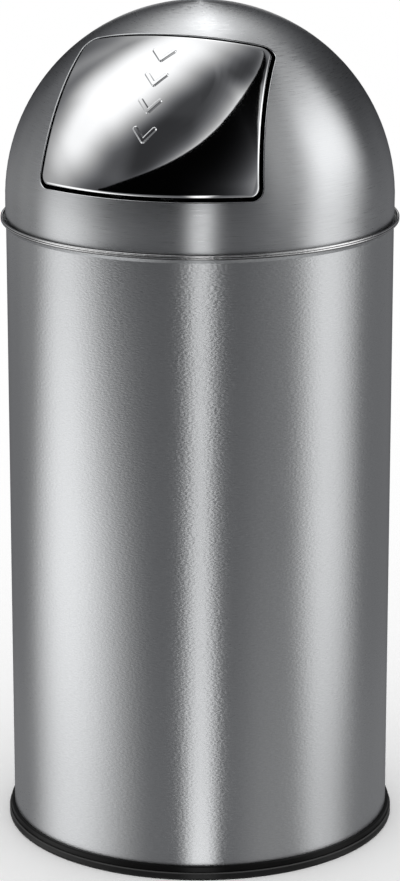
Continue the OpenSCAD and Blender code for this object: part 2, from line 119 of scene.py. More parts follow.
def noise(tree, vector, scale, detail=2.0, roughness=0.5):
    """A noise value of 0..1 at the coordinates."""
    node = add(tree, "ShaderNodeTexNoise")
    node.inputs["Scale"].default_value = scale
    node.inputs["Detail"].default_value = detail
    node.inputs["Roughness"].default_value = roughness
    join(tree, vector, node.inputs["Vector"])
    return node.outputs["Fac"]


# Where noise mostly lies, and where the stops of a grey ramp stand
NOISE_RANGE = (0.25, 0.75)
RAMP_STOPS = (0.3, 0.7)


def spread(tree, value, low, high):
    """Maps the range where noise mostly lies to low..high."""
    node = add(tree, "ShaderNodeMapRange")
    node.inputs["From Min"].default_value = NOISE_RANGE[0]
    node.inputs["From Max"].default_value = NOISE_RANGE[1]
    node.inputs["To Min"].default_value = low
    node.inputs["To Max"].default_value = high
    join(tree, value, node.inputs["Value"])
    return node.outputs["Result"]


def bump(tree, shader, height, distance, strength=1.0):
    """Gives the shader a bump from a height."""
    node = add(tree, "ShaderNodeBump")
    node.inputs["Strength"].default_value = strength
    node.inputs["Distance"].default_value = distance
    join(tree, height, node.inputs["Height"])
    join(tree, node.outputs["Normal"], shader.inputs["Normal"])


def grey_ramp(tree, value, low, high, tint=(1.0, 1.0, 1.0)):
    """A colour between two greys, with a tint, from a value of 0..1."""
    node = add(tree, "ShaderNodeValToRGB")
    for stop, level, place in zip(node.color_ramp.elements, (low, high), RAMP_STOPS):
        stop.color = (level * tint[0], level * tint[1], level * tint[2], 1)
        stop.position = place
    join(tree, value, node.inputs["Fac"])
    return node.outputs["Color"]


def object_place(tree):
    """The object's own coordinates."""
    return add(tree, "ShaderNodeTexCoord").outputs["Object"]


def brush_place(tree, along, across):
    """Coordinates that follow brushing round the Z axis: long round the axis, and fine up it."""
    split = add(tree, "ShaderNodeSeparateXYZ")
    join(tree, object_place(tree), split.inputs[0])
    turn = math_node(tree, "ARCTAN2", split.outputs["Y"], split.outputs["X"])
    merge = add(tree, "ShaderNodeCombineXYZ")
    join(tree, math_node(tree, "MULTIPLY", turn, along), merge.inputs["X"])
    join(tree, math_node(tree, "MULTIPLY", split.outputs["Z"], across), merge.inputs["Y"])
    return merge.outputs[0]


# --- Materials ---
STEEL_TINT = (0.966, 0.984, 1.0)
# How far the brushed steel's gloss is stretched, and its turn from the tangent round the axis:
# a quarter turn, so up the sheet. On the body the turn leans a little from spot to spot
STRETCH = 0.84
STRETCH_TURN = 0.25
STRETCH_LEAN = 0.04
# The relief of the brushed steel: the bump's depth and strength, the brushing's cells per metre up
# the sheet, the satin speckle's cells per radian round the axis and per metre up the sheet, and
# how high the speckle and the weld seam stand against the brushing
BUMP_DEPTH = 0.00002
BUMP_STRENGTH = 0.4
BRUSH_UP = 1500
SATIN_ROUND = 55
SATIN_UP = 750
SATIN_HEIGHT = 20.0
SEAM_HEIGHT = 2.0
# Half the weld seam's width, and its soft edge
SEAM_HALF = 0.001
SEAM_SOFT = 0.0004
# The body's rolled rim: where the roll's outside starts, the creases under it and between its two
# turns, the outside of the tucked gap behind it, and the soft edges of these round and up. The
# creases and the gap are painted near black, as painted shade
ROLL_R = 0.1784
ROLL_LOW = 0.5700
CREASE_LOW = 0.5690
ROLL_MIDDLE = 0.57135
CREASE_HALF = 0.0002
TUCK_R = 0.1782
ROLL_SOFT = 0.0002
CREASE_SOFT = 0.0003
# The step between the floor ring's tiers, and the band along the lower one's edge that gets a
# painted highlight
TIER_Z = 0.0068
TIER_R = 0.1788
TIER_HIGHLIGHT_BAND = 0.0006
# A limit beyond every part of the bin
BEYOND = 1.0


def zone(tree, value, low, high, soft):
    """1 where a value is between low and high, and 0 beyond a soft edge."""
    sides = []
    for edge, sign in ((low, -1), (high, 1)):
        node = add(tree, "ShaderNodeMapRange", interpolation_type="SMOOTHSTEP")
        node.inputs["From Min"].default_value = edge
        node.inputs["From Max"].default_value = edge + sign * soft
        node.inputs["To Min"].default_value = 1
        node.inputs["To Max"].default_value = 0
        join(tree, value, node.inputs["Value"])
        sides.append(node.outputs["Result"])
    return math_node(tree, "MULTIPLY", *sides)


def axes(tree):
    """The object's X, Y and Z, and the distance from the Z axis."""
    split = add(tree, "ShaderNodeSeparateXYZ")
    join(tree, object_place(tree), split.inputs[0])
    x, y, z = split.outputs
    squares = [math_node(tree, "MULTIPLY", side, side) for side in (x, y)]
    return x, y, z, math_node(tree, "SQRT", math_node(tree, "ADD", *squares))


def toned(tree, colour, mask, level, share=1.0):
    """The colour, changed to a grey where the mask is 1."""
    node = add(tree, "ShaderNodeMix", data_type="RGBA")
    join(tree, math_node(tree, "MULTIPLY", mask, share), node.inputs["Factor"])
    first, second = [i for i in node.inputs if i.type == "RGBA"]
    join(tree, colour, first)
    second.default_value = (level, level, level, 1)
    return [o for o in node.outputs if o.type == "RGBA"][0]


def eased(tree, value, mask, change):
    """The value plus a change where the mask is 1."""
    return math_node(tree, "ADD", value, math_node(tree, "MULTIPLY", mask, change))


def brushed_steel(name, along, body=False):
    """Stainless sheet brushed round the axis, whose gloss stretches up the sheet.

    The body's sheet has a satin speckle, a ground weld seam down its rear and a burnished roll at
    its rim. The creases under and within the roll and the tucked gap behind it are painted near
    black, as painted shade.
    """
    material, tree, shader = new_material(name)
    shader.inputs["Metallic"].default_value = 1
    shader.inputs["Anisotropic"].default_value = STRETCH
    shader.inputs["Anisotropic Rotation"].default_value = STRETCH_TURN
    tangent = add(tree, "ShaderNodeTangent", direction_type="RADIAL", axis="Z")
    join(tree, tangent.outputs[0], shader.inputs["Tangent"])
    place = object_place(tree)
    grain = noise(tree, brush_place(tree, along, BRUSH_UP), 1.0, detail=4, roughness=0.7)
    cloud = noise(tree, place, 9.0, detail=3)
    colour = grey_ramp(tree, grain, 0.555, 0.685, STEEL_TINT)
    vary = 0.05 if body else 0.09
    rough = spread(tree, grain, -vary, vary)
    rough = math_node(tree, "ADD", rough, spread(tree, cloud, 0.29, 0.34))
    height = grain
    if body:
        x, y, z, r = axes(tree)
        seam = zone(tree, x, -SEAM_HALF, SEAM_HALF, SEAM_SOFT)
        seam = math_node(tree, "MULTIPLY", seam, math_node(tree, "GREATER_THAN", y, 0.0))
        roll = zone(tree, r, ROLL_R, BEYOND, ROLL_SOFT)
        # Masks of painted shade in the creases of the roll and in the tucked gap behind it
        between = zone(tree, z, ROLL_MIDDLE - CREASE_HALF, ROLL_MIDDLE + CREASE_HALF, ROLL_SOFT)
        under = zone(tree, z, CREASE_LOW, ROLL_LOW, CREASE_SOFT)
        crease_shade = math_node(tree, "MAXIMUM", under, between)
        crease_shade = math_node(tree, "MULTIPLY", roll, crease_shade)
        above = zone(tree, z, CREASE_LOW, BEYOND, CREASE_SOFT)
        tuck_shade = math_node(tree, "MULTIPLY", above, zone(tree, r, 0.0, TUCK_R, ROLL_SOFT))
        colour = toned(tree, colour, seam, 0.4, 0.7)
        # Painted shade: the roll's creases and the tucked gap behind it are made near black
        colour = toned(tree, toned(tree, colour, roll, 0.85, 0.8), crease_shade, 0.06, 0.92)
        colour = toned(tree, colour, tuck_shade, 0.05, 0.9)
        rough = eased(tree, eased(tree, rough, seam, 0.15), roll, -0.15)
        join(tree, eased(tree, STRETCH, roll, -STRETCH), shader.inputs["Anisotropic"])
        satin = noise(tree, brush_place(tree, SATIN_ROUND, SATIN_UP), 1.0, detail=1)
        rough = math_node(tree, "ADD", rough, spread(tree, satin, -0.012, 0.012))
        lean = noise(tree, place, 800.0, detail=1)
        lean = spread(tree, lean, STRETCH_TURN - STRETCH_LEAN, STRETCH_TURN + STRETCH_LEAN)
        join(tree, lean, shader.inputs["Anisotropic Rotation"])
        height = eased(tree, eased(tree, grain, seam, SEAM_HEIGHT), satin, SATIN_HEIGHT)
    join(tree, colour, shader.inputs["Base Color"])
    join(tree, rough, shader.inputs["Roughness"])
    bump(tree, shader, height, BUMP_DEPTH, BUMP_STRENGTH)
    return material


def burnished_edge():
    """The bend round the aperture, where the brushing is rubbed bright."""
    material, tree, shader = new_material("burnished_edge")
    shader.inputs["Metallic"].default_value = 1
    rub = noise(tree, object_place(tree), 60.0, detail=3)
    join(tree, grey_ramp(tree, rub, 0.72, 0.8, STEEL_TINT), shader.inputs["Base Color"])
    join(tree, spread(tree, rub, 0.12, 0.2), shader.inputs["Roughness"])
    bump(tree, shader, noise(tree, object_place(tree), 900.0, detail=2), 0.00002, 0.3)
    return material


def mirror_steel():
    """The polished flap: nearly a mirror, with faint wiping marks."""
    material, tree, shader = new_material("mirror_stainless")
    shader.inputs["Metallic"].default_value = 1
    place = object_place(tree)
    smear = noise(tree, place, 14.0, detail=3)
    join(tree, grey_ramp(tree, smear, 0.86, 0.9, (0.98, 0.99, 1.0)), shader.inputs["Base Color"])
    join(tree, spread(tree, smear, 0.03, 0.055), shader.inputs["Roughness"])
    bump(tree, shader, noise(tree, place, 5.0, detail=1), 0.0002, 0.05)
    return material


def mill_steel(name, low, high, rough, scale=60.0):
    """Plain or plated sheet steel with a faint mottle and fine scratches."""
    material, tree, shader = new_material(name)
    shader.inputs["Metallic"].default_value = 1
    place = object_place(tree)
    mottle = noise(tree, place, scale, detail=4)
    join(tree, grey_ramp(tree, mottle, low, high), shader.inputs["Base Color"])
    join(tree, spread(tree, mottle, rough - 0.06, rough + 0.06), shader.inputs["Roughness"])
    bump(tree, shader, noise(tree, place, scale * 12, detail=2), 0.00003, 0.5)
    return material


def galvanised():
    """Hot-dip zinc with its crystal spangle."""
    material, tree, shader = new_material("galvanised")
    shader.inputs["Metallic"].default_value = 1
    place = object_place(tree)
    crystal = add(tree, "ShaderNodeTexVoronoi", feature="F1")
    crystal.inputs["Scale"].default_value = 130
    join(tree, place, crystal.inputs["Vector"])
    flat = add(tree, "ShaderNodeSeparateColor")
    join(tree, crystal.outputs["Color"], flat.inputs[0])
    colour = grey_ramp(tree, flat.outputs[0], 0.53, 0.63, (0.97, 0.99, 1.0))
    join(tree, colour, shader.inputs["Base Color"])
    join(tree, spread(tree, flat.outputs[1], 0.36, 0.44), shader.inputs["Roughness"])
    bump(tree, shader, noise(tree, place, 300, detail=2), 0.00003, 0.4)
    return material


def moulded(name, level, rough, shine=0.5, tiers=False):
    """Moulded plastic or rubber with a fine leather-like grain, and the floor ring's two tiers:
    painted shade over the upper one and a painted highlight along the lower one's edge.
    """
    material, tree, shader = new_material(name)
    shader.inputs["Specular IOR Level"].default_value = shine
    place = object_place(tree)
    speck = noise(tree, place, 2500.0, detail=2)
    cloud = noise(tree, place, 20.0, detail=2)
    colour = grey_ramp(tree, cloud, level * 0.85, level * 1.15)
    if tiers:
        # Painted shade: the ring's upper tier is made near black. Painted highlight: the lower
        # tier's edge is made paler
        _, _, z, r = axes(tree)
        colour = toned(tree, colour, zone(tree, z, TIER_Z + 0.0002, BEYOND, 0.0003), 0.0015)
        # Painted highlight: a paler band along the lower tier's outer edge
        edge = zone(tree, z, TIER_Z - TIER_HIGHLIGHT_BAND, TIER_Z, 0.0002)
        edge = math_node(tree, "MULTIPLY", edge, zone(tree, r, TIER_R, BEYOND, 0.0003))
        colour = toned(tree, colour, edge, 0.05)
    join(tree, colour, shader.inputs["Base Color"])
    join(tree, spread(tree, cloud, rough - 0.05, rough + 0.05), shader.inputs["Roughness"])
    bump(tree, shader, speck, 0.00004, 0.5)
    return material


FINISHES = {
    "brushed_stainless": brushed_steel("brushed_stainless", along=6.0),
    "mirror_stainless": mirror_steel(),
    "ring_plastic": moulded("ring_plastic", 0.009, 0.42, shine=0.18, tiers=True),
    "plate_steel": mill_steel("plate_steel", 0.45, 0.58, 0.38),
    "galvanised": galvanised(),
    "zinc_hardware": mill_steel("zinc_hardware", 0.55, 0.68, 0.3, scale=200),
    "spring_steel": mill_steel("spring_steel", 0.22, 0.32, 0.32, scale=300),
    "bush_nylon": moulded("bush_nylon", 0.78, 0.45),
    "buffer_rubber": moulded("buffer_rubber", 0.02, 0.7),
}

for part in frame["record"]["subparts"]:
    mesh = nodes[part["node"]].data
    mesh.materials.clear()
    mesh.materials.append(FINISHES[part["material_slot"]])
nodes["body_shell"].data.materials[0] = brushed_steel("seamed_stainless", along=30.0, body=True)


def ease(x):
    """0 below 0, 1 above 1, and smooth between."""
    x = np.clip(x, 0, 1)
    return x * x * (3 - 2 * x)


# --- The dome's and the flap's outline, in metres, in the raked frame of the flap ---
# X across, V up the chord and N out along its normal, from the centre of the dome's sphere
DOME_CENTRE = Vector((0, 0, 0.5895))
RAKE = math.radians(52.3)
DOME_R = 0.1755
SHEET = 0.0008
SKIRT_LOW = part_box("dome_shell")[0].z
LIP_R = 0.171
LIP_T = 0.001
FLAP_R = 0.1765
FLAP_T = 0.0012
FLANGE_R = 0.171
FLAP_GAP = 0.0028
APERTURE_W = 0.0957
TAPER = 0.1
LOW_R = 0.274
LOW_C = LOW_R - 0.083
TOP_R = 0.536
TOP_C = TOP_R + 0.076
CORNER_R = 0.013
# Round bends at the flap's edge and the aperture's, and how finely the outline and sheets are cut
FLAP_BEND = 0.0013
DOME_BEND = 0.0012
BEND_STEPS = 6
ARC_STEPS = 22
CORNER_STEPS = 12
SIDE_STEPS = 26
FLAP_RINGS = 30
DOME_RINGS = 44
# The point that the flap's rings close in on, and how far in they go before the cap
FLAP_MIDDLE = (0, -0.004)
FLAP_INWARD = 0.985


def meet(a, k, c, q):
    """Where a line x = a - k v first meets a circle of radius q about (0, c)."""
    h, m, n = a * k + c, 1 + k * k, a * a + c * c - q * q
    return (h - math.sqrt(h * h - m * n)) / m


def outline(d):
    """Points of the aperture's outline and their outward normals, drawn in from the edge by d."""
    slant = math.sqrt(1 + TAPER * TAPER)
    a = APERTURE_W - CORNER_R * slant
    low_v = meet(a, TAPER, LOW_C, LOW_R - CORNER_R)
    top_v = meet(a, TAPER, TOP_C, TOP_R + CORNER_R)
    low_x, top_x = a - TAPER * low_v, a - TAPER * top_v
    low_turn = math.atan2(low_v - LOW_C, low_x)
    side = math.atan(TAPER)
    top_turn = math.atan2(TOP_C - top_v, -top_x)
    top_side = math.atan2(top_v - TOP_C, top_x)
    half = []

    def arc(cx, cv, r, a0, a1, steps, sign=1, first=0):
        for i in range(first, steps + 1):
            t = a0 + (a1 - a0) * i / steps
            c, s = math.cos(t), math.sin(t)
            half.append((cx + r * c, cv + r * s, sign * c, sign * s))

    quarter = math.pi / 2
    arc(0, LOW_C, LOW_R - d, -quarter, low_turn, ARC_STEPS)
    arc(low_x, low_v, CORNER_R - d, low_turn, side, CORNER_STEPS, first=1)
    x0, v0 = half[-1][:2]
    x1 = top_x + (CORNER_R - d) * math.cos(side)
    v1 = top_v + (CORNER_R - d) * math.sin(side)
    for i in range(1, SIDE_STEPS):
        f = i / SIDE_STEPS
        half.append((x0 + (x1 - x0) * f, v0 + (v1 - v0) * f, math.cos(side), math.sin(side)))
    arc(top_x, top_v, CORNER_R - d, side, top_turn, CORNER_STEPS)
    arc(0, TOP_C, TOP_R + d, top_side, -quarter, ARC_STEPS, sign=-1, first=1)
    half = np.array(half)
    other = half[1:-1][::-1] * np.array([-1, 1, -1, 1])
    return np.concatenate([half, other])


def on_sphere(points, r):
    """Raked points on the sphere of radius r over the plane points."""
    return np.column_stack([points, np.sqrt(r * r - (points ** 2).sum(1))])


def unit(rows):
    """The rows at length 1."""
    return rows / np.linalg.norm(rows, axis=1)[:, None]


def flat_normals(ring):
    """The outline's outward normals, square to N."""
    return np.column_stack([ring[:, 2:], np.zeros(len(ring))])


def to_world(rows):
    """Raked rows as rows of the shared frame, without the shift to the dome's centre."""
    x, v, n = rows.T
    c, s = math.cos(RAKE), math.sin(RAKE)
    return np.column_stack([x, v * c - n * s, v * s + n * c])


def rounded(d, r, bend, sign=1):
    """Rings with normals over a bend from the sphere of radius r into the wall at inset d."""
    rings = []
    for i in range(BEND_STEPS + 1):
        t = math.pi / 2 * i / BEND_STEPS
        ring = outline(d + sign * bend * (1 - math.sin(t)))
        spot = on_sphere(ring[:, :2], r - bend * (1 - math.cos(t)))
        normal = unit(math.cos(t) * unit(spot) + sign * math.sin(t) * flat_normals(ring))
        rings.append((spot, normal))
    return rings


def wall(d, r0, r1, sign=1):
    """Two rings of the wall at inset d, between the spheres of radius r0 and r1."""
    ring = outline(d)
    normal = sign * flat_normals(ring)
    return [(on_sphere(ring[:, :2], r), normal) for r in (r0, r1)]


class Shell:
    """Gathers bands of rings into one mesh, each with its sharp edges, material and normals."""

    def __init__(self):
        self.points, self.normals, self.faces, self.looks = [], [], [], []

    def band(self, rings, look=0, cap=False, flip=False):
        """Adds faces between rings that follow each other, and a cap over the last one."""
        count = len(rings[0][0])
        start = sum(len(p) for p in self.points)
        for spot, normal in rings:
            self.points.append(spot)
            self.normals.append(normal)
        for i in range(len(rings) - 1):
            for k in range(count):
                a, b = start + i * count + k, start + i * count + (k + 1) % count
                face = (a, b, b + count, a + count)
                self.faces.append(face[::-1] if flip else face)
                self.looks.append(look)
        if cap:
            last = start + (len(rings) - 1) * count
            face = tuple(range(last, last + count))
            self.faces.append(face[::-1] if flip else face)
            self.looks.append(look)

    def build(self, name, centre, materials):
        """Makes the object in the shared frame, with its own normals."""
        points = to_world(np.concatenate(self.points)) + np.array(centre)
        normals = to_world(np.concatenate(self.normals))
        mesh = bpy.data.meshes.new(name)
        mesh.from_pydata([tuple(p) for p in points], [], self.faces)
        for material in materials:
            mesh.materials.append(material)
        mesh.polygons.foreach_set("material_index", self.looks)
        mesh.shade_smooth()
        mesh.normals_split_custom_set_from_vertices([tuple(n) for n in normals])
        obj = bpy.data.objects.new(name, mesh)
        bpy.context.scene.collection.objects.link(obj)
        return obj


def shrink_rings(ring, r, sign=1):
    """Rings over the sphere of radius r, from a ring of plane points in to the flap's middle."""
    rings = []
    middle = np.array(FLAP_MIDDLE)
    for i in range(FLAP_RINGS):
        t = 1 - i / FLAP_RINGS * FLAP_INWARD
        spot = on_sphere(middle + (ring[:, :2] - middle) * t, r)
        rings.append((spot, sign * unit(spot)))
    return rings


def make_flap():
    """The flap's sheet with its folded flange, in place of the solid flap_panel."""
    shell = Shell()
    front = shrink_rings(outline(FLAP_GAP + FLAP_BEND), FLAP_R)[::-1]
    front += rounded(FLAP_GAP, FLAP_R, FLAP_BEND)[1:]
    front += wall(FLAP_GAP, FLAP_R - FLAP_BEND, FLANGE_R)[1:]
    shell.band(front[::-1], cap=True)
    inset = FLAP_GAP + FLAP_T
    end = [on_sphere(outline(d)[:, :2], FLANGE_R) for d in (FLAP_GAP, inset)]
    shell.band([(spot, -unit(spot)) for spot in end], flip=True)
    shell.band(wall(inset, FLANGE_R, FLAP_R - FLAP_T, sign=-1), flip=True)
    shell.band(shrink_rings(outline(inset), FLAP_R - FLAP_T, sign=-1), cap=True, flip=True)
    flap = shell.build("flap_skin", DOME_CENTRE, [FINISHES["mirror_stainless"]])
    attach(flap, "flap")
    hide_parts("flap_panel")


def meridians(ring, r, sign=1):
    """Rings from the dome's equator to a ring of plane points, along arcs from the N axis."""
    spot = unit(on_sphere(ring[:, :2], r))
    angle = np.arctan2(spot[:, 1], spot[:, 0])
    near = np.arccos(spot[:, 2])
    far = np.arctan2(math.cos(RAKE), -np.sin(angle) * math.sin(RAKE))
    rings = []
    for i in range(DOME_RINGS + 1):
        reach = far + (near - far) * i / DOME_RINGS
        flat = np.column_stack([np.cos(angle), np.sin(angle)]) * np.sin(reach)[:, None]
        way = np.column_stack([flat, np.cos(reach)])
        rings.append((way * r, sign * way))
    return rings


def make_dome():
    """The dome's sheet with its skirt and its lip, in place of the solid dome_shell."""
    shell = Shell()
    # The raked frame's own direction of world +Z, to drop the skirt along
    down = np.array([0, -math.sin(RAKE), -math.cos(RAKE)]) * (DOME_CENTRE.z - SKIRT_LOW)
    outer = meridians(outline(-DOME_BEND), DOME_R)
    foot = (outer[0][0] + down, outer[0][1])
    shell.band([foot] + outer)
    lip = rounded(0, DOME_R, DOME_BEND, sign=-1) + wall(0, DOME_R - DOME_BEND, LIP_R, sign=-1)[1:]
    shell.band(lip, look=1)
    end = [on_sphere(outline(d)[:, :2], LIP_R) for d in (0, -LIP_T)]
    shell.band([(spot, -unit(spot)) for spot in end], look=1)
    inside = DOME_R - SHEET
    shell.band(wall(-LIP_T, LIP_R, inside))
    inner = meridians(outline(-LIP_T), inside, sign=-1)
    base = (inner[0][0] + down, inner[0][1])
    shell.band(inner[::-1] + [base])
    edge = np.tile(down / np.linalg.norm(down), (len(foot[0]), 1))
    shell.band([(base[0], edge), (foot[0], edge)])
    materials = [FINISHES["brushed_stainless"], burnished_edge()]
    dome = shell.build("dome_sheet", DOME_CENTRE, materials)
    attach(dome, "lid")
    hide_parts("dome_shell")


# The push marks: how many, where the first is up the chord, and the step down to the next
MARKS = 4
MARK_TOP = 0.049
MARK_STEP = 0.0265
# A mark's two arms reach out by MARK_ARM and drop by MARK_FALL to its tip. Its bead is full
# height within BEAD_FLAT of an arm's line and down at BEAD_FOOT, and its edge is sunk in the flap
MARK_ARM = 0.0085
MARK_FALL = 0.0105
BEAD_HIGH = 0.0015
BEAD_FLAT = 0.0012
BEAD_FOOT = 0.0025
BEAD_SUNK = 0.00006
BEAD_MARGIN = 0.0004
# The size of a mark's mesh squares
MARK_PITCH = 0.00022


def make_chevrons():
    """Plain pressed marks down the flap, which show where to push."""
    arm, fall = MARK_ARM, MARK_FALL
    tip = np.array([0.0, -fall / 2])
    for k in range(MARKS):
        middle = np.array([0.0, MARK_TOP - MARK_STEP * k])
        reach = BEAD_FOOT + BEAD_MARGIN
        xs = np.arange(-arm - reach, arm + reach, MARK_PITCH)
        vs = np.arange(-fall / 2 - reach * 1.5, fall / 2 + reach, MARK_PITCH)
        plane = np.stack(np.meshgrid(xs, vs), -1)
        off = np.full(plane.shape[:2], 1.0)
        for side in (-1, 1):
            line = np.array([side * arm, fall / 2]) - tip
            f = np.clip(((plane - tip) @ line) / (line @ line), 0, 1)
            off = np.minimum(off, np.linalg.norm(plane - tip - f[..., None] * line, axis=-1))
        lift = BEAD_HIGH * ease((BEAD_FOOT - off) / (BEAD_FOOT - BEAD_FLAT)) - BEAD_SUNK
        flat_points = (plane + middle).reshape(-1, 2)
        spot = on_sphere(flat_points, FLAP_R)
        spot *= 1 + lift.reshape(-1, 1) / FLAP_R
        n = len(xs)
        kept = (off < reach).reshape(-1)
        faces = []
        for i in range(len(vs) - 1):
            for j in range(n - 1):
                face = (i * n + j, i * n + j + 1, (i + 1) * n + j + 1, (i + 1) * n + j)
                if all(kept[c] for c in face):
                    faces.append(face)
        used = sorted(set(c for face in faces for c in face))
        order = {c: i for i, c in enumerate(used)}
        points = to_world(spot[used]) + np.array(DOME_CENTRE)
        mesh = bpy.data.meshes.new(f"push_mark_{k + 1}")
        faces = [tuple(order[c] for c in face) for face in faces]
        mesh.from_pydata([tuple(p) for p in points], [], faces)
        mesh.materials.append(FINISHES["mirror_stainless"])
        mesh.shade_smooth()
        mark = bpy.data.objects.new(mesh.name, mesh)
        bpy.context.scene.collection.objects.link(mark)
        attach(mark, "flap")


make_flap()
make_dome()
make_chevrons()


# --- Stage: a white floor and world, and a light tent that only polished metal sees ---
def stage_mesh(name, points, faces, material, smooth=False):
    """Adds an object that belongs to the stage, not to the bin."""
    mesh = bpy.data.meshes.new(name)
    mesh.from_pydata(points, [], faces)
    if smooth:
        mesh.shade_smooth()
    mesh.materials.append(material)
    obj = bpy.data.objects.new(name, mesh)
    bpy.context.scene.collection.objects.link(obj)
    return obj


def make_floor():
    """The white floor, which takes the bin's soft shadow."""
    material, tree, shader = new_material("floor")
    shader.inputs["Base Color"].default_value = (1, 1, 1, 1)
    shader.inputs["Roughness"].default_value = 1
    shader.inputs["Specular IOR Level"].default_value = 0
    size = 30
    corners = [(-size, -size, 0), (size, -size, 0), (size, size, 0), (-size, size, 0)]
    stage_mesh("floor", corners, [(0, 1, 2, 3)], material)


def make_world():
    """An even white world."""
    world = bpy.data.worlds.new("studio")
    world.use_nodes = True
    background = world.node_tree.nodes["Background"]
    background.inputs["Color"].default_value = (1, 1, 1, 1)
    background.inputs["Strength"].default_value = 1
    bpy.context.scene.world = world


TENT_CENTRE = Vector((0, 0, 0.75))
TENT_RADIUS = 0.9
TENT_LOWEST = 0.002
TENT_STEP = 2
BODY_R = 0.175


def patch(value, low, high, soft_low, soft_high):
    """1 between low and high, falling to 0 over a soft width at each end."""
    return ease((value - low) / soft_low + 1) * ease((high - value) / soft_high + 1)


def card_turn(turn, reach):
    """Which upright band a spot of the low tent belongs to, found by halving.

    The low cloth is lit so that its bands run straight down the body's reflection.
    """
    low, high = 0.0, 180.0
    for _ in range(30):
        band = (low + high) / 2
        b = math.radians(band)
        if reach * math.sin(b - math.radians(abs(turn))) < BODY_R * math.sin(b / 2):
            low = band
        else:
            high = band
        if band < abs(turn):
            low = band
    far = math.degrees(math.asin(BODY_R * math.sin(math.radians(low) / 2) / TENT_RADIUS))
    return math.copysign(low - far, turn)


def way_of(turn, rise):
    """The direction of a turn and rise, with the view along +Y."""
    a, e = math.radians(turn), math.radians(rise)
    return Vector((math.sin(a) * math.cos(e), -math.cos(a) * math.cos(e), math.sin(e)))


# The big softbox: a bent band of light from low on the left, up and over the top to the rear,
# as its middle line's turn and rise, the half-width of its full part in degrees and its level
BAND = [
    (-90, -6, 0, 0.1), (-88, 2, 0, 0.4), (-85, 11, 1, 0.8), (-82, 18, 3, 1.05), (-82, 40, 9, 1.15),
    (-82, 52, 10.5, 1.15), (-92, 66, 9.5, 1.15), (-140, 75, 6.5, 1.1), (-172, 69, 5, 1.0),
]
BAND_SOFT = 30
# The lamp high behind the bin, whose glow falls away from its middle
REAR_LAMP = (175, 57)


def band_glow(way):
    """Brightness of the bent softbox: full near its middle line, and soft to nothing beside it."""
    best = 0.0
    for (t0, r0, w0, g0), (t1, r1, w1, g1) in zip(BAND, BAND[1:]):
        a, b = way_of(t0, r0), way_of(t1, r1)
        along = b - a
        f = min(1.0, max(0.0, (way - a).dot(along) / along.length_squared))
        off = math.degrees(way.angle(a + along * f)) - (w0 + (w1 - w0) * f)
        best = max(best, (g0 + (g1 - g0) * f) * float(ease(1 - off / BAND_SOFT)) ** 1.5)
    return best


# Each of these lights has its level, and the turns and the rises that it covers in full, with
# the soft widths below and above them. LAMP stands to the right, level with the dome, STRIP_HEAD
# is the top of the strip beside the view, BACK lights the rear of the body, and FILLS are the
# weak lights between the softboxes
LAMP = (1.75, (77, 92, 20, 24), (4, 20, 14, 22))
STRIP_HEAD = (1.9, (0.8, 3.6, 8, 8.5), (-9, 3, 5, 9))
BACK = (0.07, (100, 140, 25, 20), (-90, -5, 1, 15))
FILLS = [
    (0.03, (-58, -22, 12, 12), (-90, -20, 1, 12)),
    (-0.016, (-45, -8, 10, 10), (14, 42, 8, 8)),
    (0.05, (-60, -48, 12, 12), (6, 38, 8, 14)),
    (0.07, (-118, -104, 8, 10), (-50, 8, 20, 14)),
    (0.3, (45, 60, 14, 22), (0, 50, 20, 18)),
    (0.1, (-150, -110, 12, 12), (-15, 35, 12, 15)),
    (0.4, (80, 112, 15, 20), (38, 50, 12, 8)),
    (0.09, (-165, -132, 10, 12), (20, 40, 8, 12)),
]


def lit(light, turn, rise):
    """Brightness of one light at a turn and rise."""
    level, turns, rises = light
    return level * patch(turn, *turns) * patch(rise, *rises)


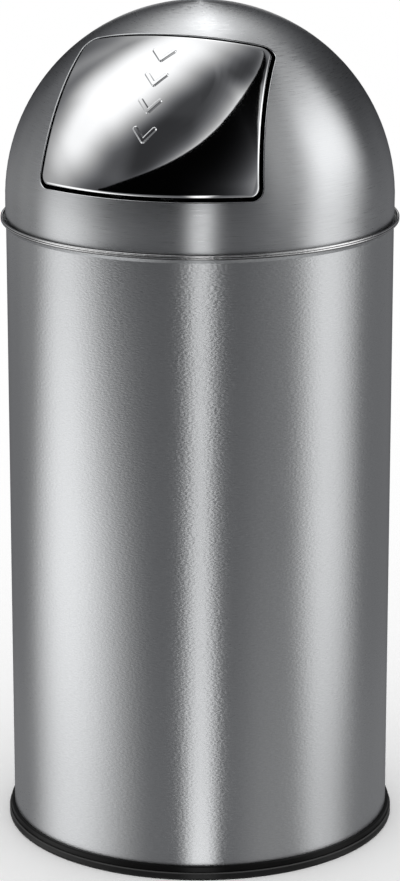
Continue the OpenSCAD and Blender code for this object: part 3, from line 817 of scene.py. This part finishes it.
def tent_glow(turn, rise):
    """Brightness of the tent's cloth, by degrees round from the view and degrees up."""
    turn = (turn + 180) % 360 - 180
    way = way_of(turn, rise)
    # The low light straight behind the bin
    tail = 0.9 * ease((abs(turn) - 165) / 9) * patch(rise, -90, -4, 1, 14)
    if rise < 0:
        turn = card_turn(turn, max(TENT_RADIUS * math.cos(math.radians(rise)), BODY_R * 1.02))
    around = abs(turn)
    # How far down the cloth a spot is, and whether it lies on the floor
    deep = ease((-20 - rise) / 25)
    floor = ease((-48 - rise) / 14)
    # The tall softboxes to the left and right, which make the body's two broad bands
    left = 1.0 + 0.3 * deep - 0.42 * floor
    left *= patch(turn, -84, -77, 24 + 12 * deep, 30 + 22 * deep)
    left *= patch(rise, -90, -14, 1, 11)
    right = 0.93 - 0.4 * floor
    right *= patch(turn, 71, 77 - 3 * floor, 22 - 3 * floor, 31 - 3 * floor)
    right *= patch(rise, -90, -7, 1, 15)
    lamp = lit(LAMP, turn, rise)
    # The narrow strip beside the view, narrower near the body's top, and its bright head
    near = patch(rise, -42, -14, 10, 6)
    strip = 1.1 - 0.12 * near
    strip *= patch(turn, -2.8 + 1.4 * near, 4 - 1.9 * near, 9 - near, 8 - near)
    strip *= patch(rise, -90, -14, 1, 14)
    strip += lit(STRIP_HEAD, turn, rise)
    back = lit(BACK, around, rise)
    # The glow of the rear lamp, cut off towards the front on the right
    crown = 5.3 * math.exp(-math.degrees(way.angle(way_of(*REAR_LAMP))) / 9.5)
    if turn > 0:
        crown *= max(ease((turn - 112) / 40), ease((rise - 66) / 16))
    # The weak light between the softboxes, least round the body's middle
    middle = patch(rise, -36, -6, 12, 12)
    fill = 0.15 * patch(turn, 38, 55, 28, 25) * patch(rise, -90, 45, 1, 15) * (1 - 0.6 * middle)
    for light in FILLS:
        fill += lit(light, turn, rise)
    # An even haze, and a shade behind the bin at the dome's height
    haze = 0.05 + 0.08 * ease((5 - rise) / 25) + 0.05 * floor
    shade = 1 - 0.7 * patch(around, 145, 180, 15, 1) * patch(rise, -5, 35, 12, 15)
    return (haze + fill) * shade + max(left, right, lamp, strip, back, tail, crown, band_glow(way))


def tent_point(turn, rise, radius):
    """The spot of the tent at a turn and rise, kept just above the floor."""
    point = TENT_CENTRE + way_of(turn + math.degrees(VIEW_AZIMUTH), rise) * radius
    point.z = max(point.z, TENT_LOWEST)
    return point


# The cloth's tint by its level: a little cool in the dark, and plain in the light
CLOTH_TINTS = [(0.02, (0.97, 0.985, 1.05)), (0.35, (1.0, 0.998, 1.0))]


def glow_material():
    """Cloth that shines at the level of its vertices."""
    material = bpy.data.materials.new("tent_cloth")
    material.use_nodes = True
    tree = material.node_tree
    tree.nodes.clear()
    read = add(tree, "ShaderNodeAttribute", attribute_name="glow")
    light = add(tree, "ShaderNodeEmission")
    out = add(tree, "ShaderNodeOutputMaterial")
    join(tree, read.outputs["Fac"], light.inputs["Strength"])
    cool = add(tree, "ShaderNodeValToRGB")
    for stop, (place, tone) in zip(cool.color_ramp.elements, CLOTH_TINTS):
        stop.position = place
        stop.color = (*tone, 1)
    join(tree, read.outputs["Fac"], cool.inputs["Fac"])
    join(tree, cool.outputs["Color"], light.inputs["Color"])
    join(tree, light.outputs[0], out.inputs["Surface"])
    return material


def glowing(obj, levels):
    """Gives the vertices their levels, and leaves the sheet to glossy rays alone."""
    layer = obj.data.attributes.new("glow", "FLOAT", "POINT")
    layer.data.foreach_set("value", np.asarray(levels, np.float32))
    obj.visible_camera = False
    obj.visible_diffuse = False
    obj.visible_shadow = False


def tent_sheet(name, turns, rises_of, radius, glow_of, cloth):
    """A patch of the tent on a grid of turns, with the rises at each turn."""
    points, faces, levels = [], [], []
    rows = len(rises_of(turns[0]))
    for i, turn in enumerate(turns):
        for j, rise in enumerate(rises_of(turn)):
            points.append(tent_point(turn, rise, radius))
            levels.append(float(glow_of(turn, rise)))
            if i and j:
                a = i * rows + j
                faces.append((a - rows - 1, a - 1, a, a - rows))
    obj = stage_mesh(name, points, faces, cloth, smooth=True)
    glowing(obj, levels)


# The black card in front of the tent: its top edge and its bottom edge, as turn and rise
CARD_TOP = [
    (-56, -1.5), (-43, 4.9), (-30, 11.4), (-17, 18.8), (-4, 27.4), (9, 36.9), (22, 46), (35, 52.8),
    (48, 57.1), (61, 59.8), (74, 61), (90, 61.1), (107, 59.5), (124, 56),
]
CARD_LOW = [
    (-56, -1.7), (-40, -6), (0, -4), (29, -3), (33, 17), (40, 35), (47, 43), (56, 50), (70, 56),
    (90, 58.5), (124, 55.8),
]
# The cards' radii as shares of the tent's, and the scrim's rises over the card's top edge
CARD_NEAR = 0.98
SCRIM_NEAR = 0.985
SCRIM_OVER = np.array([0, 0.7, 1.4, 2.5, 4, 6, 9, 13, 18, 24])


def edge_at(points, turn):
    """The rise of a card's edge at a turn, with its corners rounded off."""
    turns, rises = zip(*points)
    near = np.interp(turn + np.array([-4, -2, 0, 2, 4]), turns, rises)
    return float(near.mean())


def make_tent():
    """The tent's cloth, the black card in front of it and the scrim over the card's top edge."""
    cloth = glow_material()
    rises = np.arange(-90, 90.1, TENT_STEP)
    turns = np.arange(-180, 181, TENT_STEP)
    tent_sheet("tent", turns, lambda turn: rises, TENT_RADIUS, tent_glow, cloth)

    def card_glow(turn, rise):
        """Nearly black, with a sheen that grows to the right and fades with the rise."""
        return 0.0005 + 0.28 * math.exp(min(0.5, (turn - 30) / 6.3) - max(0, rise - 6) / 7.5)

    def card_rises(turn):
        return np.linspace(edge_at(CARD_LOW, turn), edge_at(CARD_TOP, turn), 25)

    def scrim_rises(turn):
        return edge_at(CARD_TOP, turn) + SCRIM_OVER

    def scrim_glow(turn, rise):
        """The tent's own light, with a wide glow and a thin bright line above the card."""
        over = rise - edge_at(CARD_TOP, turn)
        fade = 4 + 2.4 * ease((turn + 10) / 24)
        wide = 0.55 * math.exp(-over / fade) * patch(turn, 5, 30, 38, 35)
        thin = 0.2 * math.exp(-over / 1.2) * patch(turn, -5, 118, 45, 12)
        return tent_glow(turn, rise) + wide + thin

    turns = np.arange(CARD_TOP[0][0], CARD_TOP[-1][0] + 0.1, 1)
    tent_sheet("card", turns, card_rises, TENT_RADIUS * CARD_NEAR, card_glow, cloth)
    tent_sheet("scrim", turns, scrim_rises, TENT_RADIUS * SCRIM_NEAR, scrim_glow, cloth)


make_floor()
make_world()
make_tent()

bpy.context.scene.view_settings.view_transform = "Standard"
